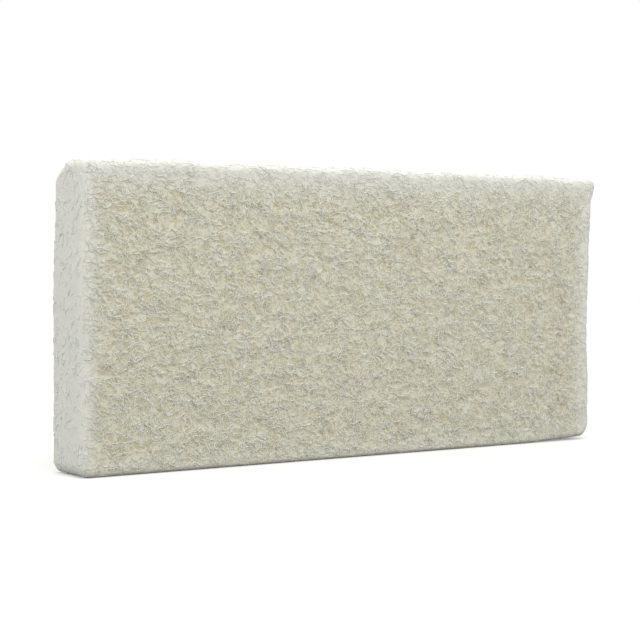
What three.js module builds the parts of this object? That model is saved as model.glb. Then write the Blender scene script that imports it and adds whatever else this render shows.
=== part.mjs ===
// A hand-size nylon scouring pad, standing on its long narrow edge.
// It is one block of lofty non-woven web: crimped fibres bonded into an open mat, cut to size with a die.
// Millimetres, +Z up, +X along the pad and -Y towards its front face.
// The origin lies on the ground, under the middle of the pad's box.
import * as THREE from "three";
import { mergeGeometries, mergeVertices } from "three/addons/utils/BufferGeometryUtils.js";

// The block
const padLength = 254;
const padHeight = 117;
const padThickness = 25.4;

// How the die leaves the outline: rolled edges, and a round at each corner of the front view
const edgeRoll = 3;
const topLeftRound = 3.5;
const topRightRound = 3;
const bottomLeftRound = 4.5;
const bottomRightRound = 6;

// The web: open pits between raised tufts that all end level with the face
const tuftPitch = 4.8;
const facePitDepth = 3.2;
const edgePitDepth = 2.6;
const bridgedShare = 0.14; // the share of pits that fibres bridge over, level with the face
const shallowestPit = 0.75; // as a share of the full depth
const tuftScatter = 0.2; // how far a tuft strays from its place, as a share of the pitch

// How the cut edges stray from true, always inwards from the block
const topDip = 0.9;
const topDipLength = 46;
const endFade = 34; // how far from an end its straying dies out
const topFade = 30;
const liftHeight = 1.3; // the underside curves up towards the right end
const liftLength = 44;

// How far each end stands in from the block, as [height, inset] from the ground up
const leftEndInsets = [
  [0, 0],
  [64, 0.1],
  [padHeight - 12, 1.1],
  [padHeight, 1.2],
];
const rightEndInsets = [
  [0, 3],
  [24, 3],
  [50, 4],
  [82, 3.1],
  [padHeight - 12, 2],
  [padHeight - edgeRoll, 0],
  [padHeight, 0.4],
];

// The crushed corner: top, back and left, pressed to a soft slope
const crushAlong = 12.5;
const crushAcross = 15.5;
const crushDown = 10;
const crushBlend = 2.1;

const webColour = 0xc4c0ad;
const seamTolerance = 1e-3;

const halfLength = padLength / 2;
const halfThickness = padThickness / 2;
const edgeStations = 2; // stations that a rolled edge takes, before its first tuft

const { clamp, smoothstep, lerp } = THREE.MathUtils;

// A repeatable stream of numbers from 0 to 1
function numbersFrom(seed) {
  let state = seed;
  return () => {
    state = (Math.imul(state, 1664525) + 1013904223) >>> 0;
    return state / 2 ** 32;
  };
}

// The value at a place, smoothly between stops of [place, value]
function between(stops, place) {
  const next = stops.findIndex(([at]) => at >= place);
  if (next <= 0) return next === 0 ? stops[0][1] : stops.at(-1)[1];
  const [fromPlace, fromValue] = stops[next - 1];
  const [toPlace, toValue] = stops[next];
  return lerp(fromValue, toValue, smoothstep(place, fromPlace, toPlace));
}

// The places of tufts and pits across one span: close together on the rolled edges, then one a pitch
function stations(span) {
  const level = span - 2 * edgeRoll;
  const cells = Math.round(level / tuftPitch);
  const places = [0, edgeRoll / 2];
  for (let cell = 0; cell <= cells; cell++) places.push(edgeRoll + (level * cell) / cells);
  places.push(span - edgeRoll / 2, span);
  return places;
}

const lengthStations = stations(padLength);
const heightStations = stations(padHeight);
const thicknessStations = stations(padThickness);

function roundNear(x, z) {
  const onTop = z > padHeight / 2;
  if (x < 0) return onTop ? topLeftRound : bottomLeftRound;
  return onTop ? topRightRound : bottomRightRound;
}

// Takes a point of the square block's surface to the block with round corners and rolled edges
function soften(point) {
  const round = Math.max(roundNear(point.x, point.z), edgeRoll);
  const coreX = clamp(point.x, round - halfLength, halfLength - round);
  const coreZ = clamp(point.z, round, padHeight - round);
  const outward = new THREE.Vector2(point.x - coreX, point.z - coreZ);
  const reach = Math.max(Math.abs(outward.x), Math.abs(outward.y));
  if (reach === 0) return point.clone();

  let sideInset = round - reach;
  let faceInset = halfThickness - Math.abs(point.y);
  const sideReach = edgeRoll - sideInset;
  const faceReach = edgeRoll - faceInset;
  if (sideReach > 0 && faceReach > 0) {
    const toRound = Math.max(sideReach, faceReach) / Math.hypot(sideReach, faceReach);
    sideInset = edgeRoll - sideReach * toRound;
    faceInset = edgeRoll - faceReach * toRound;
  }
  outward.setLength(round - sideInset);
  const side = Math.sign(point.y) * (halfThickness - faceInset);
  return new THREE.Vector3(coreX + outward.x, side, coreZ + outward.y);
}

// A gentle wave from 0 to 1 along the pad
function wave(x) {
  const turn = (2 * Math.PI * x) / topDipLength;
  return 0.5 - 0.3 * Math.cos(turn) - 0.2 * Math.sin(turn * 0.57 + 1.9);
}

// Moves the cut edges off true, as the die and handling left them
function stray(point) {
  const leftShare = 1 - smoothstep(point.x + halfLength, 0, endFade);
  const rightShare = 1 - smoothstep(halfLength - point.x, 0, endFade);
  const topShare = 1 - smoothstep(padHeight - point.z, 0, topFade);
  const baseShare = 1 - smoothstep(point.z, 0, topFade);
  const lift = liftHeight * smoothstep(point.x, halfLength - liftLength, halfLength);
  point.x += leftShare * between(leftEndInsets, point.z);
  point.x -= rightShare * between(rightEndInsets, point.z);
  point.z += baseShare * lift - topShare * topDip * wave(point.x);
  return point;
}

// The crushed corner's slope, facing out of the pad
const crushFacing = new THREE.Vector3(-1 / crushAlong, 1 / crushAcross, 1 / crushDown).normalize();
const crushPlane = new THREE.Plane().setFromNormalAndCoplanarPoint(
  crushFacing,
  new THREE.Vector3(crushAlong - halfLength, halfThickness, padHeight),
);

// Presses whatever stands past the slope back onto it, with a soft bend where the slope begins
function crush(point) {
  const past = crushPlane.distanceToPoint(point);
  if (past <= -crushBlend) return point;
  const press = past >= crushBlend ? past : (past + crushBlend) ** 2 / (4 * crushBlend);
  return point.addScaledVector(crushFacing, -press);
}

function isPit(column, row) {
  return (column + row) % 2 === 0;
}

// One face of the block, with tufts and pits set like the squares of a chessboard.
// along and up span the face from its corner, and along x up points out of the pad.
function webSheet({ corner, along, up, columns, rows, pitDepth, seed }) {
  const random = numbersFrom(seed);
  const inward = new THREE.Vector3().crossVectors(up, along);
  const columnPitch = columns[edgeStations + 1] - columns[edgeStations];
  const rowPitch = rows[edgeStations + 1] - rows[edgeStations];
  const positions = [];
  rows.forEach((rowPlace, row) => {
    columns.forEach((columnPlace, column) => {
      const [strayAlong, strayUp, bridging, depth] = [random(), random(), random(), random()];
      const stepsIn = Math.min(row, rows.length - 1 - row, column, columns.length - 1 - column);
      const scatter = stepsIn > edgeStations ? tuftScatter : 0;
      const onBlock = corner
        .clone()
        .addScaledVector(along, columnPlace + (2 * strayAlong - 1) * scatter * columnPitch)
        .addScaledVector(up, rowPlace + (2 * strayUp - 1) * scatter * rowPitch);
      const level = stray(soften(onBlock));
      const closed = bridging < bridgedShare || crushPlane.distanceToPoint(level) > -crushBlend;
      const pitted = stepsIn >= edgeStations && isPit(column, row) && !closed;
      const fullDepth = stepsIn > edgeStations ? pitDepth : pitDepth / 2;
      const sunk = pitted ? fullDepth * lerp(shallowestPit, 1, depth) : 0;
      const place = crush(level.addScaledVector(inward, sunk));
      positions.push(place.x, place.y, place.z);
    });
  });

  // Each cell is split from tuft to tuft, so that every pit is a hollow by itself
  const faces = [];
  for (let row = 0; row < rows.length - 1; row++) {
    for (let column = 0; column < columns.length - 1; column++) {
      const near = row * columns.length + column;
      const far = near + columns.length;
      if (isPit(column, row)) faces.push(near, near + 1, far, near + 1, far + 1, far);
      else faces.push(near, near + 1, far + 1, near, far + 1, far);
    }
  }
  return new THREE.BufferGeometry()
    .setAttribute("position", new THREE.Float32BufferAttribute(positions, 3))
    .setIndex(faces);
}

function padSurface() {
  const right = new THREE.Vector3(1, 0, 0);
  const left = right.clone().negate();
  const backward = new THREE.Vector3(0, 1, 0);
  const forward = backward.clone().negate();
  const upward = new THREE.Vector3(0, 0, 1);
  const corner = (x, y, z) => new THREE.Vector3(x * halfLength, y * halfThickness, z * padHeight);

  const broad = { up: upward, columns: lengthStations, rows: heightStations, pitDepth: facePitDepth };
  const end = { up: upward, columns: thicknessStations, rows: heightStations, pitDepth: edgePitDepth };
  const long = { along: right, columns: lengthStations, rows: thicknessStations };
  const sheets = [
    { ...broad, corner: corner(-1, -1, 0), along: right, seed: 11 }, // front
    { ...broad, corner: corner(1, 1, 0), along: left, seed: 12 }, // back
    { ...end, corner: corner(-1, 1, 0), along: forward, seed: 13 }, // left end
    { ...end, corner: corner(1, -1, 0), along: backward, seed: 14 }, // right end
    { ...long, corner: corner(-1, -1, 1), up: backward, pitDepth: edgePitDepth, seed: 15 }, // top
    { ...long, corner: corner(-1, 1, 0), up: forward, pitDepth: 0, seed: 16 }, // underside, pressed flat
  ];
  return mergeVertices(mergeGeometries(sheets.map(webSheet)), seamTolerance);
}

const surface = padSurface();
surface.computeVertexNormals();
const web = new THREE.MeshStandardMaterial({ color: webColour, roughness: 0.95, metalness: 0 });
const scouringPad = new THREE.Mesh(surface, web);
scouringPad.name = "scouring_pad";

const part = new THREE.Group();
part.add(scouringPad);

export default part;
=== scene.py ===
"""The look of a nylon scouring pad: a block of open, lofty web made of crimped fibres.

The pad's solid gives its place and outer size. This script dresses it with a core that has the web's
open pits, and with the crimped fibres that cross each other over those pits. Lengths are in metres.
"""

import logging
import math
from dataclasses import dataclass, field
from enum import Enum

import bmesh
import bpy
import numpy as np
from mathutils import Matrix, Vector, noise

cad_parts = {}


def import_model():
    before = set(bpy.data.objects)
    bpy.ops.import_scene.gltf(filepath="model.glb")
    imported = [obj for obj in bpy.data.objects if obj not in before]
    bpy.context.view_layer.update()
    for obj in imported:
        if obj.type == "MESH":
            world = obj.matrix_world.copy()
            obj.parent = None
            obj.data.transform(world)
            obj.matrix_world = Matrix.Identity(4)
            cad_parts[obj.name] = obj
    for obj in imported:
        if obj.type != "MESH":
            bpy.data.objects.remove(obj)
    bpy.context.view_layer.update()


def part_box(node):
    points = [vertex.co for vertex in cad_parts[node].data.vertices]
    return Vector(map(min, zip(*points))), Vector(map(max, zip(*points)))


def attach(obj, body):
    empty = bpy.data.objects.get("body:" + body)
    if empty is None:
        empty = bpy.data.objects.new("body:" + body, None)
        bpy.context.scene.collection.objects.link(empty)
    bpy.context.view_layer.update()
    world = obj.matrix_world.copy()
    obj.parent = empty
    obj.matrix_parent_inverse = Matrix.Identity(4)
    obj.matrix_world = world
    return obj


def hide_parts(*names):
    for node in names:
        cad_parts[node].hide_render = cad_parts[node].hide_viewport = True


LOG = logging.getLogger("scouring_pad")

NODE = "scouring_pad"
BODY = "root"
MM = 0.001
FULL_TURN = 2.0 * math.pi
TINY = 1e-9
SECTION_CORNERS = 3

# Steps, as shares of a face's two spans, that place one fibre after another evenly over it
EVEN_STEPS = (0.7548776662, 0.5698402910)

# Depth in the pits, which also sets their painted shade.
DEPTH_ATTRIBUTE = "depth_share"
# Nearness to a cut edge, which also sets its partly painted paleness.
RIM_ATTRIBUTE = "rim_share"
# Each fibre's own random tone.
FIBRE_TONE_ATTRIBUTE = "fibre_tone"

Colour = tuple[float, float, float, float]


def smoothstep(values: np.ndarray, low: float, high: float) -> np.ndarray:
    """Rises smoothly from 0 at low to 1 at high."""
    share = np.clip((values - low) / (high - low), 0.0, 1.0)
    return share * share * (3.0 - 2.0 * share)


def between(stops: tuple[tuple[float, float], ...], places: np.ndarray) -> np.ndarray:
    """Reads a smooth line through stops.

    Args:
        stops: Pairs of place and value, with the places rising.
        places: Where the line is read.

    Returns:
        The line's value at each place.
    """
    values = np.full(places.shape, stops[0][1])
    for (low, low_value), (high, high_value) in zip(stops, stops[1:]):
        step = smoothstep(places, low, high)
        values = np.where(places > low, low_value + (high_value - low_value) * step, values)
    return values


@dataclass(frozen=True)
class PadForm:
    """The pad's outer form: the square block, its rolled edges, its rounds and its stray edges.

    Every method takes and gives points as rows of x, y and z. The top edge dips by a wave and a slow
    wave, each with its share of the dip. The pale rims are the reach and the full paleness of the left
    end, the right end, the top and the underside. That paleness is partly the whiter cut fibres and
    partly painted light: the top lit from above and light shining through the thin edges.
    """

    length: float
    thickness: float
    height: float
    edge_roll: float = 3.0 * MM
    top_left_round: float = 3.5 * MM
    top_right_round: float = 3.0 * MM
    bottom_left_round: float = 4.5 * MM
    bottom_right_round: float = 6.0 * MM
    top_dip: float = 0.9 * MM
    top_dip_length: float = 46.0 * MM
    wave_share: float = 0.3
    slow_wave_share: float = 0.2
    slow_wave_pace: float = 0.57
    slow_wave_start: float = 1.9
    end_fade: float = 34.0 * MM
    top_fade: float = 30.0 * MM
    lift_height: float = 1.3 * MM
    lift_length: float = 44.0 * MM
    crush_along: float = 12.5 * MM
    crush_across: float = 15.5 * MM
    crush_down: float = 10.0 * MM
    crush_blend: float = 1.0 * MM
    edge_band: float = 4.5 * MM
    # Reach and full paleness of each rim: whiter cut fibres and painted light from above and through the
    # edges.
    pale_and_lit_rims: tuple[tuple[float, float], ...] = (
        (10.0 * MM, 1.0), (14.0 * MM, 0.9), (17.0 * MM, 1.0), (9.0 * MM, 0.35))

    @classmethod
    def of_node(cls, node: str) -> "PadForm":
        """Takes the overall size from a node of the frame.

        Args:
            node: The node's name.

        Returns:
            The form of a pad of that size.
        """
        low, high = (Vector(corner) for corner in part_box(node))
        size = high - low
        return cls(length=size.x, thickness=size.y, height=size.z)

    @property
    def half_length(self) -> float:
        """Half of the pad's length."""
        return self.length / 2.0

    @property
    def half_thickness(self) -> float:
        """Half of the pad's thickness."""
        return self.thickness / 2.0

    def left_insets(self) -> tuple[tuple[float, float], ...]:
        """How far the left end stands in, from the ground up."""
        near_top = self.height - 12.0 * MM
        return ((0.0, 0.0), (64.0 * MM, 0.1 * MM), (near_top, 1.1 * MM), (self.height, 1.2 * MM))

    def right_insets(self) -> tuple[tuple[float, float], ...]:
        """How far the right end stands in, from the ground up."""
        return (
            (0.0, 3.0 * MM),
            (24.0 * MM, 3.0 * MM),
            (50.0 * MM, 4.0 * MM),
            (82.0 * MM, 3.1 * MM),
            (self.height - 12.0 * MM, 2.0 * MM),
            (self.height - self.edge_roll, 0.0),
            (self.height, 0.4 * MM),
        )

    def rounds(self, points: np.ndarray) -> np.ndarray:
        """Reads the outline's round at the corner nearest to each point.

        Args:
            points: Points of the square block.

        Returns:
            The round for each point, at least as large as the edge's roll.
        """
        on_left = points[:, 0] < 0.0
        on_top = points[:, 2] > self.height / 2.0
        left = np.where(on_top, self.top_left_round, self.bottom_left_round)
        right = np.where(on_top, self.top_right_round, self.bottom_right_round)
        return np.maximum(np.where(on_left, left, right), self.edge_roll)

    def soften(self, points: np.ndarray) -> np.ndarray:
        """Rounds the corners of the outline and rolls the edges.

        Args:
            points: Points of the square block.

        Returns:
            The points on the softened block.
        """
        rounds = self.rounds(points)
        core_x = np.clip(points[:, 0], rounds - self.half_length, self.half_length - rounds)
        core_z = np.clip(points[:, 2], rounds, self.height - rounds)
        out_x = points[:, 0] - core_x
        out_z = points[:, 2] - core_z
        reach = np.maximum(np.abs(out_x), np.abs(out_z))
        side_inset = rounds - reach
        face_inset = self.half_thickness - np.abs(points[:, 1])
        side_reach = np.maximum(self.edge_roll - side_inset, 0.0)
        face_reach = np.maximum(self.edge_roll - face_inset, 0.0)
        diagonal = np.maximum(np.hypot(side_reach, face_reach), TINY)
        shrink = np.maximum(side_reach, face_reach) / diagonal
        rolled = (side_reach > 0.0) & (face_reach > 0.0)
        side_inset = np.where(rolled, self.edge_roll - side_reach * shrink, side_inset)
        face_inset = np.where(rolled, self.edge_roll - face_reach * shrink, face_inset)
        outward = np.maximum(np.hypot(out_x, out_z), TINY)
        stretch = np.where(reach > 0.0, (rounds - side_inset) / outward, 0.0)
        side = np.sign(points[:, 1]) * (self.half_thickness - face_inset)
        return np.column_stack((core_x + out_x * stretch, side, core_z + out_z * stretch))

    def stray(self, points: np.ndarray) -> np.ndarray:
        """Moves the cut edges off true, as the die and handling left them.

        Args:
            points: Points of the softened block.

        Returns:
            The moved points.
        """
        x, y, z = points.T
        left_share = 1.0 - smoothstep(x + self.half_length, 0.0, self.end_fade)
        right_share = 1.0 - smoothstep(self.half_length - x, 0.0, self.end_fade)
        top_share = 1.0 - smoothstep(self.height - z, 0.0, self.top_fade)
        base_share = 1.0 - smoothstep(z, 0.0, self.top_fade)
        lift = self.lift_height * smoothstep(x, self.half_length - self.lift_length, self.half_length)
        moved_x = x + left_share * between(self.left_insets(), z)
        moved_x = moved_x - right_share * between(self.right_insets(), z)
        turn = FULL_TURN * moved_x / self.top_dip_length
        slow_turn = turn * self.slow_wave_pace + self.slow_wave_start
        wave = 0.5 - self.wave_share * np.cos(turn) - self.slow_wave_share * np.sin(slow_turn)
        moved_z = z + base_share * lift - top_share * self.top_dip * wave
        return np.column_stack((moved_x, y, moved_z))

    def crush(self, points: np.ndarray) -> np.ndarray:
        """Presses whatever stands past the crushed corner's slope back onto it.

        Args:
            points: Points of the block before the corner was crushed.

        Returns:
            The pressed points.
        """
        facing = np.array((-1.0 / self.crush_along, 1.0 / self.crush_across, 1.0 / self.crush_down))
        facing /= np.linalg.norm(facing)
        on_slope = np.array((self.crush_along - self.half_length, self.half_thickness, self.height))
        past = (points - on_slope) @ facing
        bend = (past + self.crush_blend) ** 2 / (4.0 * self.crush_blend)
        press = np.where(past >= self.crush_blend, past, bend)
        press = np.where(past <= -self.crush_blend, 0.0, press)
        return points - press[:, None] * facing

    def shape(self, points: np.ndarray) -> np.ndarray:
        """Takes points of the square block to the finished form."""
        return self.crush(self.stray(self.soften(points)))

    def near_edge(self, points: np.ndarray) -> np.ndarray:
        """Tells points on the outline of the front view from those inside it.

        Args:
            points: Points of the square block.

        Returns:
            From 1 on the outline to 0 inside it.
        """
        from_end = self.half_length - np.abs(points[:, 0])
        nearest = np.minimum(from_end, np.minimum(points[:, 2], self.height - points[:, 2]))
        return 1.0 - smoothstep(nearest, 0.0, self.edge_band)

    def rim_share(self, points: np.ndarray) -> np.ndarray:
        """Reads how much of the cut edges' paleness, which is partly painted light, each point has.

        Args:
            points: Points of the square block.

        Returns:
            From the full paleness of the nearest edge, on it, to 0 further in.
        """
        x, _, z = points.T
        distances = (x + self.half_length, self.half_length - x, self.height - z, z)
        shares = [full * (1.0 - smoothstep(distance, 0.0, reach))
                  for distance, (reach, full) in zip(distances, self.pale_and_lit_rims)]
        return np.maximum.reduce(shares)


class Side(Enum):
    """The block's faces, each with the directions that span it."""

    FRONT = ((-1, -1, 0), (1, 0, 0), (0, 0, 1))
    BACK = ((1, 1, 0), (-1, 0, 0), (0, 0, 1))
    LEFT_END = ((-1, 1, 0), (0, -1, 0), (0, 0, 1))
    RIGHT_END = ((1, -1, 0), (0, 1, 0), (0, 0, 1))
    TOP = ((-1, -1, 1), (1, 0, 0), (0, 1, 0))
    UNDERSIDE = ((-1, 1, 0), (1, 0, 0), (0, -1, 0))

    def spans(self, form: PadForm) -> tuple[float, float]:
        """Measures the face.

        Args:
            form: The pad's form.

        Returns:
            The face's size along its first direction and along its second.
        """
        size = np.array((form.length, form.thickness, form.height))
        _, along, up = (np.array(part) for part in self.value)
        return float(np.abs(along) @ size), float(np.abs(up) @ size)

    def grain(self, stretch: float) -> tuple[float, float]:
        """How much longer the fibres run along the web's grain than across it.

        Args:
            stretch: The stretch along the grain, which is also the squeeze across it.

        Returns:
            The stretch along the face's first direction and along its second.
        """
        at_end = self in (Side.LEFT_END, Side.RIGHT_END)
        root = math.sqrt(stretch)
        return (1.0 / root, root) if at_end else (root, 1.0 / root)

    def place(self, form: PadForm, along_place: np.ndarray, up_place: np.ndarray,
              depth: np.ndarray) -> np.ndarray:
        """Takes places on the face to points of the square block.

        Args:
            form: The pad's form.
            along_place: How far each place lies along the face's first direction.
            up_place: How far each place lies along its second direction.
            depth: How deep each point lies under the face.

        Returns:
            The points.
        """
        corner, along, up = (np.array(part, dtype=float) for part in self.value)
        start = corner * np.array((form.half_length, form.half_thickness, form.height))
        inward = np.cross(up, along)
        return (start + along_place[:, None] * along + up_place[:, None] * up
                + depth[:, None] * inward)


@dataclass(frozen=True)
class PitField:
    """The open pits all over the web, each a cell between strands, some deep and some shallow.

    A patch is the size of the areas in which the pits are alike in depth, and the strengths set how
    deep they are there. The plainest is the share of their depth that the pits lose on the pale rims.
    The wall is the range over which a pit falls to its depth, from its border inwards, in pitches.
    """

    pitch: float = 3.1 * MM
    depth: float = 0.7 * MM
    patch: float = 7.0 * MM
    plainest: float = 0.85
    usual_strength: float = 0.6
    patch_strength: float = 0.9
    least_strength: float = 0.1
    wall: tuple[float, float] = (0.05, 0.65)

    def shares(self, points: np.ndarray, rim: np.ndarray) -> np.ndarray:
        """Reads the pits at points.

        Args:
            points: Rows of x, y and z.
            rim: How pale and close the web is there, from 0 to 1.

        Returns:
            How deep the pits are at each point, as a share of the full depth.
        """
        openness = np.empty(len(points))
        patches = np.empty(len(points))
        for order, point in enumerate(points):
            place = Vector(point)
            distances, _ = noise.voronoi(place / self.pitch)
            openness[order] = distances[1] - distances[0]
            patches[order] = noise.noise(place / self.patch)
        strength = np.clip(self.usual_strength + self.patch_strength * patches, self.least_strength, 1.0)
        return smoothstep(openness, *self.wall) * strength * (1.0 - self.plainest * rim)


def add_attribute(mesh: bpy.types.Mesh, name: str, values: np.ndarray) -> None:
    """Keeps one number for each vertex of a mesh."""
    layer = mesh.attributes.new(name=name, type="FLOAT", domain="POINT")
    layer.data.foreach_set("value", values.astype(np.float32))


def shade_smooth(mesh: bpy.types.Mesh) -> None:
    """Shades every face of a mesh smooth."""
    mesh.polygons.foreach_set("use_smooth", np.ones(len(mesh.polygons), dtype=bool))


class NodeCraft:
    """Small helpers that add and link shader nodes in one tree."""

    def __init__(self, tree: bpy.types.NodeTree) -> None:
        """Works on one node tree."""
        self.tree = tree

    def add(self, kind: str, **settings: object) -> bpy.types.Node:
        """Adds a node and sets its properties.

        Args:
            kind: The node's type.
            **settings: The properties by name.

        Returns:
            The node.
        """
        node = self.tree.nodes.new(kind)
        for name, value in settings.items():
            setattr(node, name, value)
        return node

    def link(self, source: bpy.types.NodeSocket, target: bpy.types.NodeSocket) -> None:
        """Links two sockets."""
        self.tree.links.new(source, target)

    def math(self, operation: str, first: object, second: object) -> bpy.types.NodeSocket:
        """Adds a math node.

        Args:
            operation: The name of the operation.
            first: A socket or a number.
            second: A socket or a number.

        Returns:
            The node's output.
        """
        node = self.add("ShaderNodeMath", operation=operation)
        for socket, value in zip(node.inputs, (first, second)):
            if isinstance(value, bpy.types.NodeSocket):
                self.link(value, socket)
            else:
                socket.default_value = value
        return node.outputs[0]

    def attribute(self, name: str) -> bpy.types.NodeSocket:
        """Reads a number that the mesh keeps for each vertex."""
        return self.add("ShaderNodeAttribute", attribute_name=name).outputs["Fac"]

    def ramp(self, share: bpy.types.NodeSocket, low: float, high: float) -> bpy.types.NodeSocket:
        """Stretches a range over 0 to 1, smoothly.

        Args:
            share: The value that is read.
            low: The value that gives 0.
            high: The value that gives 1.

        Returns:
            The stretched value.
        """
        node = self.add("ShaderNodeMapRange", interpolation_type="SMOOTHSTEP")
        self.link(share, node.inputs["Value"])
        node.inputs["From Min"].default_value = low
        node.inputs["From Max"].default_value = high
        return node.outputs["Result"]

    def mix(self, share: bpy.types.NodeSocket, first: object, second: object) -> bpy.types.NodeSocket:
        """Mixes two colours.

        Args:
            share: How much of the second colour there is.
            first: A socket or a colour.
            second: A socket or a colour.

        Returns:
            The mixed colour.
        """
        node = self.add("ShaderNodeMix", data_type="RGBA")
        self.link(share, node.inputs["Factor"])
        sockets = [socket for socket in node.inputs if socket.type == "RGBA"]
        for socket, value in zip(sockets, (first, second)):
            if isinstance(value, bpy.types.NodeSocket):
                self.link(value, socket)
            else:
                socket.default_value = value
        return next(socket for socket in node.outputs if socket.type == "RGBA")

    def for_camera(self, usual: bpy.types.Node, seen: bpy.types.Node) -> bpy.types.NodeSocket:
        """Shows the camera one shader and everything else another.

        Args:
            usual: The shader that lights the pad.
            seen: The shader that the camera sees.

        Returns:
            The chosen shader.
        """
        choice = self.add("ShaderNodeMixShader")
        self.link(self.add("ShaderNodeLightPath").outputs["Is Camera Ray"], choice.inputs[0])
        self.link(usual.outputs[0], choice.inputs[1])
        self.link(seen.outputs[0], choice.inputs[2])
        return choice.outputs[0]


def from_screen(red: int, green: int, blue: int) -> Colour:
    """Turns a colour on a screen into the linear colour of a shader socket.

    Args:
        red: The red level, from 0 to 255.
        green: The green level.
        blue: The blue level.

    Returns:
        The colour, with an alpha of 1.
    """

    def linear(level: int) -> float:
        """Undoes a screen's curve for one level."""
        share = level / 255.0
        return share / 12.92 if share <= 0.04045 else ((share + 0.055) / 1.055) ** 2.4

    return linear(red), linear(green), linear(blue), 1.0


def grey(level: float) -> Colour:
    """Makes a grey from 0, black, to 1, white."""
    return level, level, level, 1.0


@dataclass(frozen=True)
class CoreFinish:
    """The web further in: layers of curled strands over beige pits, paler at the cut edges.

    A strand is a contour line of noise. Each layer has a curl size and a level, from 0 as deep as the
    pits to 1 as pale as the strands on top. The strands fade in the pits and on the cut edges. The pits'
    beige is partly the resin's tone and partly painted shade, and the cut edges' paleness is partly
    whiter fibres and partly painted light.
    """

    name: str = "bonded_web"
    strand: Colour = from_screen(231, 229, 211)
    # Pit colour: the resin's beige and painted shade of the pits' depth.
    pit: Colour = from_screen(212, 204, 175)
    # Cut-edge colour: whiter cut fibres and painted light from above and through the edges.
    pale_and_lit_edge: Colour = from_screen(240, 241, 236)
    layers: tuple[tuple[float, float], ...] = (
        (3.4 * MM, 0.55), (2.8 * MM, 0.75), (3.2 * MM, 0.9), (4.2 * MM, 1.0))
    layer_offset: float = 5.0
    strand_width: float = 0.035
    pit_fading: float = 0.75
    edge_fading: float = 0.75
    bump_height: float = 0.2 * MM
    bump_strength: float = 0.7
    roughness: float = 0.85
    specular: float = 0.25

    def strands(self, craft: NodeCraft, order: int, curl: float) -> bpy.types.NodeSocket:
        """Adds one layer of strands.

        Args:
            craft: The tree's helper.
            order: The layer's place in the list, which makes its strands its own.
            curl: The size of the strands' curls.

        Returns:
            1 on a strand and 0 off it.
        """
        field_noise = craft.add("ShaderNodeTexNoise", noise_dimensions="4D")
        field_noise.inputs["Scale"].default_value = 1.0 / curl
        field_noise.inputs["Detail"].default_value = 1.0
        field_noise.inputs["W"].default_value = self.layer_offset * order
        craft.link(craft.add("ShaderNodeTexCoord").outputs["Object"], field_noise.inputs["Vector"])
        from_line = craft.math("ABSOLUTE", craft.math("SUBTRACT", field_noise.outputs["Fac"], 0.5), 0.0)
        off_strand = craft.ramp(from_line, self.strand_width * 0.5, self.strand_width * 1.5)
        return craft.math("SUBTRACT", 1.0, off_strand)

    def network(self, craft: NodeCraft) -> bpy.types.NodeSocket:
        """Lays the layers over each other.

        Args:
            craft: The tree's helper.

        Returns:
            The level of the highest strand at each place.
        """
        layers = [craft.math("MULTIPLY", self.strands(craft, order, curl), level)
                  for order, (curl, level) in enumerate(self.layers)]
        highest = layers[0]
        for layer in layers[1:]:
            highest = craft.math("MAXIMUM", highest, layer)
        return highest

    def build(self) -> bpy.types.Material:
        """Makes the material.

        Returns:
            The material.
        """
        material = bpy.data.materials.new(self.name)
        material.use_nodes = True
        craft = NodeCraft(material.node_tree)
        shader = material.node_tree.nodes["Principled BSDF"]
        shader.inputs["Roughness"].default_value = self.roughness
        shader.inputs["Specular IOR Level"].default_value = self.specular
        network = self.network(craft)
        # Painted shade: the strands fade into the pit colour as the pits deepen.
        sunk = craft.math("MULTIPLY", craft.attribute(DEPTH_ATTRIBUTE), self.pit_fading)
        woven = craft.math("MULTIPLY", network, craft.math("SUBTRACT", 1.0, sunk))
        colour = craft.mix(woven, self.pit, self.strand)
        # Partly painted light: paler towards the cut edges, where the fibres are also whiter.
        rim = craft.math("MULTIPLY", craft.attribute(RIM_ATTRIBUTE), self.edge_fading)
        craft.link(craft.mix(rim, colour, self.pale_and_lit_edge), shader.inputs["Base Color"])
        raised = craft.math("MULTIPLY", network, craft.math("SUBTRACT", 1.0, rim))
        bump = craft.add("ShaderNodeBump")
        bump.inputs["Distance"].default_value = self.bump_height
        bump.inputs["Strength"].default_value = self.bump_strength
        craft.link(raised, bump.inputs["Height"])
        craft.link(bump.outputs["Normal"], shader.inputs["Normal"])
        return material


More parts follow.
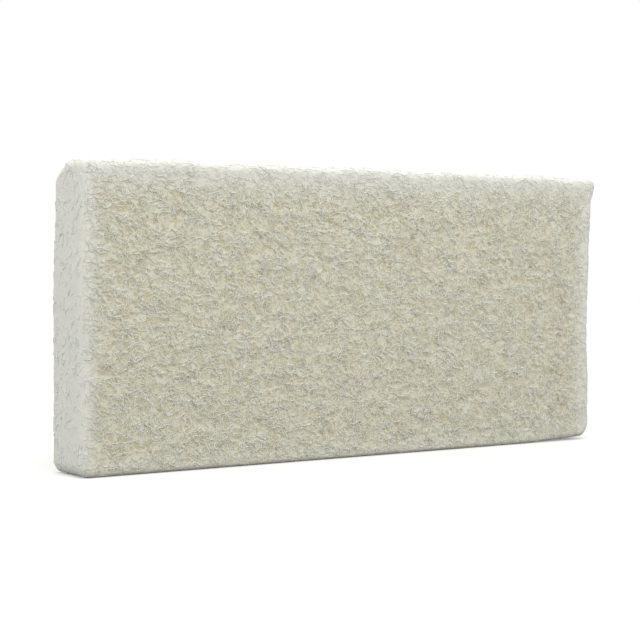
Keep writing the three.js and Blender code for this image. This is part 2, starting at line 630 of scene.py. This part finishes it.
@dataclass(frozen=True)
class FibreFinish:
    """The crimped nylon fibres: nearly white on top, beige below, greyer white at the cut edges.

    A fibre turns from its own tone to the deep one over the sinking, which is a range of depths as
    shares of a pit's. The deep beige is partly the resin's tone and partly painted shade of the web's
    depth, and the cut edges' white is partly whiter fibres and partly painted light.
    """

    name: str = "crimped_nylon"
    pale: Colour = from_screen(253, 254, 250)
    plain: Colour = from_screen(247, 246, 234)
    # Deep colour: the resin's beige and painted shade of the web's depth.
    deep: Colour = from_screen(232, 227, 204)
    # Cut-edge colour: whiter cut fibres and painted light from above and through the edges.
    pale_and_lit_edge: Colour = from_screen(246, 248, 245)
    sinking: tuple[float, float] = (0.05, 0.8)
    edge_share: float = 0.85
    roughness: float = 0.6
    specular: float = 0.35

    def build(self) -> bpy.types.Material:
        """Makes the material.

        Returns:
            The material.
        """
        material = bpy.data.materials.new(self.name)
        material.use_nodes = True
        craft = NodeCraft(material.node_tree)
        shader = material.node_tree.nodes["Principled BSDF"]
        shader.inputs["Roughness"].default_value = self.roughness
        shader.inputs["Specular IOR Level"].default_value = self.specular
        own_tone = craft.mix(craft.attribute(FIBRE_TONE_ATTRIBUTE), self.plain, self.pale)
        # Painted shade, with the resin's beige: deeper fibres turn to the deep colour.
        sunk = craft.ramp(craft.attribute(DEPTH_ATTRIBUTE), *self.sinking)
        deep_tone_and_shade = craft.mix(sunk, own_tone, self.deep)
        # Partly painted light: paler near the cut edges, where the fibres are also whiter.
        rim = craft.math("MULTIPLY", craft.attribute(RIM_ATTRIBUTE), self.edge_share)
        craft.link(craft.mix(rim, deep_tone_and_shade, self.pale_and_lit_edge), shader.inputs["Base Color"])
        return material


@dataclass
class WebCore:
    """The closed body of the web, with its open pits, behind the loose fibres.

    It lies inside the pad's form by the face inset or the rim inset, and on the form at the ground.
    """

    form: PadForm
    name: str = "web_core"
    cell: float = 1.4 * MM
    face_inset: float = 0.6 * MM
    rim_inset: float = 0.12 * MM
    ground_reach: float = 2.0 * MM
    pits: PitField = field(default_factory=PitField)
    finish: CoreFinish = field(default_factory=CoreFinish)

    def block(self) -> bmesh.types.BMesh:
        """Makes the square block, cut into even cells.

        Returns:
            The block, which stands on the ground.
        """
        form = self.form
        mesh = bmesh.new()
        bmesh.ops.create_cube(mesh, size=1.0)
        bmesh.ops.scale(mesh, vec=(form.length, form.thickness, form.height), verts=mesh.verts)
        bmesh.ops.translate(mesh, vec=(0.0, 0.0, form.height / 2.0), verts=mesh.verts)
        for axis, span in enumerate((form.length, form.thickness, form.height)):
            edges = [edge for edge in mesh.edges
                     if abs((edge.verts[0].co - edge.verts[1].co)[axis]) > span / 2.0]
            bmesh.ops.subdivide_edges(mesh, edges=edges, cuts=round(span / self.cell) - 1,
                                      use_grid_fill=True)
        return mesh

    def form_web(self, data: bpy.types.Mesh) -> None:
        """Gives the square block the pad's form and pushes the pits in.

        Args:
            data: The block's mesh.
        """
        count = len(data.vertices)
        flat = np.empty(count * 3)
        data.vertices.foreach_get("co", flat)
        square = flat.reshape(count, 3)
        shaped = self.form.shape(square)
        data.vertices.foreach_set("co", shaped.ravel())
        data.update()
        normals = np.empty(count * 3)
        data.vertices.foreach_get("normal", normals)
        normals = normals.reshape(count, 3)
        rim = self.form.rim_share(square)
        sunk = self.pits.shares(shaped, rim)
        on_ground = 1.0 - smoothstep(square[:, 2], 0.0, self.ground_reach)
        on_rim = np.maximum(self.form.near_edge(square), rim)
        inset = self.face_inset + (self.rim_inset - self.face_inset) * on_rim
        depth = (inset + self.pits.depth * sunk) * (1.0 - on_ground)
        data.vertices.foreach_set("co", (shaped - normals * depth[:, None]).ravel())
        add_attribute(data, DEPTH_ATTRIBUTE, sunk)
        add_attribute(data, RIM_ATTRIBUTE, rim)
        data.update()

    def build(self) -> bpy.types.Object:
        """Makes the core and dresses it.

        Returns:
            The finished piece.
        """
        block = self.block()
        data = bpy.data.meshes.new(self.name)
        block.to_mesh(data)
        block.free()
        self.form_web(data)
        shade_smooth(data)
        data.materials.append(self.finish.build())
        core = bpy.data.objects.new(self.name, data)
        bpy.context.scene.collection.objects.link(core)
        return core


@dataclass(frozen=True)
class Crimp:
    """How a fibre of the web curls on its way, as points one step apart.

    It turns by its curl, in radians a millimetre, which swings over the curl length, and by a steady
    bend. It dips and rises by the weave over the weave length, but never stands out of the face by
    more than the highest, and its ends dive. The grain is the stretch along the web's grain. The pale
    rims press a fibre towards the face and thin it, each by a share.
    """

    step: float = 0.9 * MM
    steps: int = 12
    fewest_steps: int = 4
    curl: tuple[float, float] = (0.4, 1.3)
    curl_length: tuple[float, float] = (3.5 * MM, 10.0 * MM)
    bend: float = 0.15
    grain: float = 1.2
    weave: tuple[float, float] = (0.05 * MM, 0.25 * MM)
    weave_length: tuple[float, float] = (5.0 * MM, 12.0 * MM)
    end_dive: float = 0.3 * MM
    end_sharpness: int = 6
    highest: float = 0.1 * MM
    rim_pressing: float = 0.85
    rim_thinning: float = 0.45

    @property
    def margin(self) -> float:
        """How far past a face's border fibres begin, so that they cross it evenly."""
        return self.step * self.steps / 3.0


@dataclass(frozen=True)
class Layer:
    """One layer of loose fibres.

    The mean depth of a fibre lies between the two depths, and length_per_area is the length of fibre
    for each area of face, in metres for each square metre. The sag is the share of a pit's depth that
    a fibre sinks where it crosses one.
    """

    name: str
    depths: tuple[float, float]
    length_per_area: float
    thickness: float
    sag: float
    crimp: Crimp = field(default_factory=Crimp)


@dataclass
class FibreWeb:
    """One layer of loose crimped fibres over one or more faces of the block, as one piece."""

    name: str
    form: PadForm
    sides: tuple[Side, ...]
    layer: Layer
    seed: int
    pits: PitField = field(default_factory=PitField)

    def run_inside(self, inside: np.ndarray) -> slice:
        """Finds the first stretch of a fibre that lies on the face.

        Args:
            inside: For each point of the fibre, if it lies on the face.

        Returns:
            The stretch, which is empty where no point does.
        """
        kept = np.flatnonzero(inside)
        if len(kept) == 0:
            return slice(0, 0)
        breaks = np.flatnonzero(np.diff(kept) > 1)
        last = kept[breaks[0]] if len(breaks) else kept[-1]
        return slice(kept[0], last + 1)

    def paths(self, side: Side, dice: np.random.Generator) -> list[np.ndarray]:
        """Lays fibres over one face.

        Args:
            side: The face.
            dice: Where the random numbers come from.

        Returns:
            For each fibre, its points in the square block.
        """
        crimp = self.layer.crimp
        span_along, span_up = side.spans(self.form)
        reach_along = span_along + 2.0 * crimp.margin
        reach_up = span_up + 2.0 * crimp.margin
        fibre_length = crimp.step * (crimp.steps - 1)
        count = int(reach_along * reach_up * self.layer.length_per_area / fibre_length)
        way = np.arange(crimp.steps) * crimp.step

        def draw(low: float, high: float) -> np.ndarray:
            """Draws one number for each fibre, between low and high."""
            return dice.uniform(low, high, (count, 1))

        def wave(height: tuple[float, float], length: tuple[float, float]) -> np.ndarray:
            """Draws one wave for each fibre, with a height and a length from two ranges."""
            return draw(*height) * np.sin(FULL_TURN * way / draw(*length) + draw(0.0, FULL_TURN))

        turning = wave(crimp.curl, crimp.curl_length) + draw(-crimp.bend, crimp.bend)
        heading = draw(0.0, FULL_TURN) + np.cumsum(turning, axis=1) * crimp.step / MM
        stretch_along, stretch_up = side.grain(crimp.grain)
        along = np.cumsum(np.cos(heading), axis=1) * crimp.step * stretch_along
        up = np.cumsum(np.sin(heading), axis=1) * crimp.step * stretch_up
        order = np.arange(count)[:, None]
        along += (order * EVEN_STEPS[0] % 1.0) * reach_along - crimp.margin
        up += (order * EVEN_STEPS[1] % 1.0) * reach_up - crimp.margin
        weave = wave(crimp.weave, crimp.weave_length)
        from_middle = np.abs(np.linspace(-1.0, 1.0, crimp.steps)) ** crimp.end_sharpness
        depth = draw(*self.layer.depths) + weave + crimp.end_dive * from_middle
        depth = np.maximum(depth, -crimp.highest)

        inside = (along > 0.0) & (along < span_along) & (up > 0.0) & (up < span_up)
        fibres = []
        for fibre_along, fibre_up, fibre_depth, fibre_inside in zip(along, up, depth, inside):
            run = self.run_inside(fibre_inside)
            if run.stop - run.start < crimp.fewest_steps:
                continue
            level = np.zeros_like(fibre_depth[run])
            on_face = side.place(self.form, fibre_along[run], fibre_up[run], level)
            pressed = fibre_depth[run] * (1.0 - crimp.rim_pressing * self.form.rim_share(on_face))
            fibres.append(side.place(self.form, fibre_along[run], fibre_up[run], pressed))
        return fibres

    def inward(self, square: np.ndarray) -> np.ndarray:
        """Finds the way into the block.

        Args:
            square: Points of the square block.

        Returns:
            The direction from the face that is nearest to each point.
        """
        form = self.form
        middle = np.array((0.0, 0.0, form.height / 2.0))
        half = np.array((form.half_length, form.half_thickness, form.height / 2.0))
        from_middle = square - middle
        nearest = np.argmin(half - np.abs(from_middle), axis=1)
        rows = np.arange(len(square))
        way = np.zeros_like(square)
        way[rows, nearest] = -np.sign(from_middle[rows, nearest])
        return way

    def section(self) -> bpy.types.Object:
        """Makes the three-cornered section of a fibre.

        Returns:
            The section, as a closed curve.
        """
        ring = bpy.data.curves.new("fibre_section", "CURVE")
        spline = ring.splines.new("POLY")
        spline.points.add(SECTION_CORNERS - 1)
        radius = self.layer.thickness / 2.0
        for order, point in enumerate(spline.points):
            turn = -FULL_TURN * order / SECTION_CORNERS
            point.co = (radius * math.cos(turn), radius * math.sin(turn), 0.0, 1.0)
        spline.use_cyclic_u = True
        return bpy.data.objects.new("fibre_section", ring)

    def tubes(self, fibres: list[np.ndarray], widths: list[np.ndarray]) -> bpy.types.Mesh:
        """Makes an open tube along each fibre.

        Args:
            fibres: The points of each fibre.
            widths: The width at each of those points, as a share of the full thickness.

        Returns:
            All the tubes in one mesh, with one ring for each point.
        """
        curve = bpy.data.curves.new(self.name, "CURVE")
        curve.dimensions = "3D"
        curve.twist_mode = "MINIMUM"
        for points, width in zip(fibres, widths):
            spline = curve.splines.new("POLY")
            spline.points.add(len(points) - 1)
            spline.points.foreach_set("co", np.column_stack((points, np.ones(len(points)))).ravel())
            spline.points.foreach_set("radius", width)
        section = self.section()
        curve.bevel_mode = "OBJECT"
        curve.bevel_object = section
        strands = bpy.data.objects.new(self.name + "_path", curve)
        bpy.context.scene.collection.objects.link(strands)
        bpy.context.view_layer.update()
        mesh = bpy.data.meshes.new_from_object(
            strands.evaluated_get(bpy.context.evaluated_depsgraph_get()))
        bpy.data.objects.remove(strands)
        bpy.data.objects.remove(section)
        return mesh

    def close_ends(self, mesh: bpy.types.Mesh) -> None:
        """Closes both ends of every tube.

        Args:
            mesh: The open tubes.
        """
        tubes = bmesh.new()
        tubes.from_mesh(mesh)
        open_edges = [edge for edge in tubes.edges if edge.is_boundary]
        bmesh.ops.holes_fill(tubes, edges=open_edges, sides=SECTION_CORNERS)
        tubes.to_mesh(mesh)
        tubes.free()

    def build(self, material: bpy.types.Material) -> bpy.types.Object:
        """Lays the fibres, makes them a mesh and dresses it.

        Args:
            material: The fibres' material.

        Returns:
            The finished piece.
        """
        dice = np.random.default_rng(self.seed)
        laid = [fibre for side in self.sides for fibre in self.paths(side, dice)]
        square = np.concatenate(laid)
        rim = self.form.rim_share(square)
        shaped = self.form.shape(square)
        sunk = self.pits.shares(shaped, rim) * self.layer.sag
        shaped += self.inward(square) * (sunk * self.pits.depth)[:, None]
        shaped[:, 2] = np.maximum(shaped[:, 2], self.layer.thickness / 2.0)
        ends = np.cumsum([len(points) for points in laid])[:-1]
        widths = 1.0 - self.layer.crimp.rim_thinning * rim
        mesh = self.tubes(np.split(shaped, ends), np.split(widths, ends))
        mesh.name = self.name
        rings = len(mesh.vertices) // len(square)
        shade = np.concatenate([np.full(len(points), dice.random()) for points in laid])
        add_attribute(mesh, DEPTH_ATTRIBUTE, np.repeat(sunk, rings))
        add_attribute(mesh, RIM_ATTRIBUTE, np.repeat(rim, rings))
        add_attribute(mesh, FIBRE_TONE_ATTRIBUTE, np.repeat(shade, rings))
        self.close_ends(mesh)
        shade_smooth(mesh)
        mesh.materials.clear()
        mesh.materials.append(material)
        piece = bpy.data.objects.new(self.name, mesh)
        bpy.context.scene.collection.objects.link(piece)
        return piece


@dataclass(frozen=True)
class Studio:
    """The white floor and sky, the soft lamp, and the camera at the photograph's place.

    The pad is lit by the plain floor. The camera sees a paler one with a faint glow, so that it ends
    in the white of the sky and keeps the pad's shadow. The camera's turns are in degrees and its lens
    and sensor in millimetres.
    """

    floor_size: float = 80.0
    floor_plain: float = 0.32
    floor_seen: float = 0.75
    floor_glow: float = 0.285
    camera_place: tuple[float, float, float] = (-0.3842, -0.5421, 0.0781)
    camera_yaw: float = -34.327
    camera_pitch: float = 1.985
    camera_roll: float = 0.143
    camera_lens: float = 91.10
    camera_sensor: float = 36.0
    camera_clip: float = 0.01
    sky_strength: float = 0.95
    lamp_power: float = 0.98
    lamp_size: tuple[float, float] = (0.9, 0.25)
    lamp_place: tuple[float, float, float] = (-0.08, -0.22, 0.42)
    lamp_target: tuple[float, float, float] = (0.0, 0.0, 0.06)

    def floor(self) -> bpy.types.Object:
        """Makes the floor.

        Returns:
            The finished floor.
        """
        mesh = bmesh.new()
        bmesh.ops.create_grid(mesh, x_segments=1, y_segments=1, size=self.floor_size / 2.0)
        data = bpy.data.meshes.new("floor")
        mesh.to_mesh(data)
        mesh.free()
        floor = bpy.data.objects.new("floor", data)
        bpy.context.scene.collection.objects.link(floor)
        data.materials.append(self.floor_finish())
        return floor

    def floor_finish(self) -> bpy.types.Material:
        """Makes the floor's white, which the camera sees brighter than the pad does.

        Returns:
            The material.
        """
        material = bpy.data.materials.new("white_floor")
        material.use_nodes = True
        craft = NodeCraft(material.node_tree)
        material.node_tree.nodes.remove(material.node_tree.nodes["Principled BSDF"])
        output = material.node_tree.nodes["Material Output"]
        plain = craft.add("ShaderNodeBsdfDiffuse")
        plain.inputs["Color"].default_value = grey(self.floor_plain)
        seen = craft.add("ShaderNodeBsdfDiffuse")
        seen.inputs["Color"].default_value = grey(self.floor_seen)
        glow = craft.add("ShaderNodeEmission")
        glow.inputs["Strength"].default_value = self.floor_glow
        both = craft.add("ShaderNodeAddShader")
        craft.link(seen.outputs[0], both.inputs[0])
        craft.link(glow.outputs[0], both.inputs[1])
        craft.link(craft.for_camera(plain, both), output.inputs["Surface"])
        return material

    def sky(self) -> None:
        """Makes an even white sky, at full white for the camera alone."""
        world = bpy.data.worlds.new("studio")
        world.use_nodes = True
        craft = NodeCraft(world.node_tree)
        background = world.node_tree.nodes["Background"]
        seen = craft.add("ShaderNodeBackground")
        background.inputs["Color"].default_value = grey(1.0)
        background.inputs["Strength"].default_value = self.sky_strength
        seen.inputs["Color"].default_value = grey(1.0)
        seen.inputs["Strength"].default_value = 1.0
        output = world.node_tree.nodes["World Output"]
        craft.link(craft.for_camera(background, seen), output.inputs["Surface"])
        bpy.context.scene.world = world

    def lamp(self) -> None:
        """Hangs one wide soft lamp over the front of the pad."""
        data = bpy.data.lights.new("wide_lamp", "AREA")
        data.shape = "RECTANGLE"
        data.size, data.size_y = self.lamp_size
        data.energy = self.lamp_power
        holder = bpy.data.objects.new("wide_lamp", data)
        holder.visible_camera = False
        holder.location = self.lamp_place
        towards = Vector(self.lamp_target) - Vector(self.lamp_place)
        holder.rotation_euler = towards.to_track_quat("-Z", "Y").to_euler()
        bpy.context.scene.collection.objects.link(holder)

    def camera(self) -> None:
        """Sets the camera where the photograph was taken from."""
        data = bpy.data.cameras.new("camera")
        data.lens = self.camera_lens
        data.sensor_width = self.camera_sensor
        data.clip_start = self.camera_clip
        holder = bpy.data.objects.new("camera", data)
        turn = (Matrix.Rotation(math.radians(self.camera_yaw), 4, "Z")
                @ Matrix.Rotation(math.radians(90.0 - self.camera_pitch), 4, "X")
                @ Matrix.Rotation(math.radians(self.camera_roll), 4, "Z"))
        holder.matrix_world = Matrix.Translation(self.camera_place) @ turn
        bpy.context.scene.collection.objects.link(holder)
        bpy.context.scene.camera = holder

    def build(self) -> None:
        """Sets up the floor, the sky, the lamp and the camera."""
        self.floor()
        self.sky()
        self.lamp()
        self.camera()
        bpy.context.scene.view_settings.view_transform = "Standard"


@dataclass
class ScouringPad:
    """The whole pad: its core, one web round its cut edges and three over each broad face."""

    form: PadForm
    rim_sides: tuple[Side, ...] = (Side.LEFT_END, Side.RIGHT_END, Side.TOP, Side.UNDERSIDE)
    rim_layer: Layer = Layer(
        "rim", depths=(0.0, 0.25 * MM), length_per_area=1000.0, thickness=0.22 * MM, sag=0.5,
        crimp=Crimp(rim_pressing=0.15, rim_thinning=0.0))
    face_layers: tuple[Layer, ...] = (
        Layer("deep", depths=(0.35 * MM, 0.7 * MM), length_per_area=560.0, thickness=0.26 * MM, sag=1.0),
        Layer("middle", depths=(0.1 * MM, 0.4 * MM), length_per_area=640.0, thickness=0.22 * MM, sag=0.8),
        Layer("high", depths=(-0.05 * MM, 0.15 * MM), length_per_area=560.0, thickness=0.21 * MM, sag=0.25),
    )

    def webs(self) -> list[FibreWeb]:
        """Lists the fibre webs.

        Returns:
            The webs, each one a piece with a seed of its own.
        """
        webs = [FibreWeb("rim_web", self.form, self.rim_sides, self.rim_layer, seed=1)]
        for side in (Side.FRONT, Side.BACK):
            for layer in self.face_layers:
                name = f"{side.name.lower()}_web_{layer.name}"
                webs.append(FibreWeb(name, self.form, (side,), layer, seed=len(webs) + 1))
        return webs

    def build(self) -> None:
        """Builds every piece and ties it to the frame."""
        core = WebCore(self.form).build()
        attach(core, BODY)
        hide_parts(NODE)
        LOG.info("%s: %d vertices", core.name, len(core.data.vertices))
        fibre = FibreFinish().build()
        for web in self.webs():
            piece = web.build(fibre)
            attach(piece, BODY)
            LOG.info("%s: %d faces", piece.name, len(piece.data.polygons))


def main() -> None:
    """Dresses the pad and sets the studio."""
    logging.basicConfig(level=logging.INFO, format="%(name)s %(message)s")
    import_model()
    ScouringPad(PadForm.of_node(NODE)).build()
    Studio().build()


if __name__ == "__main__":
    main()
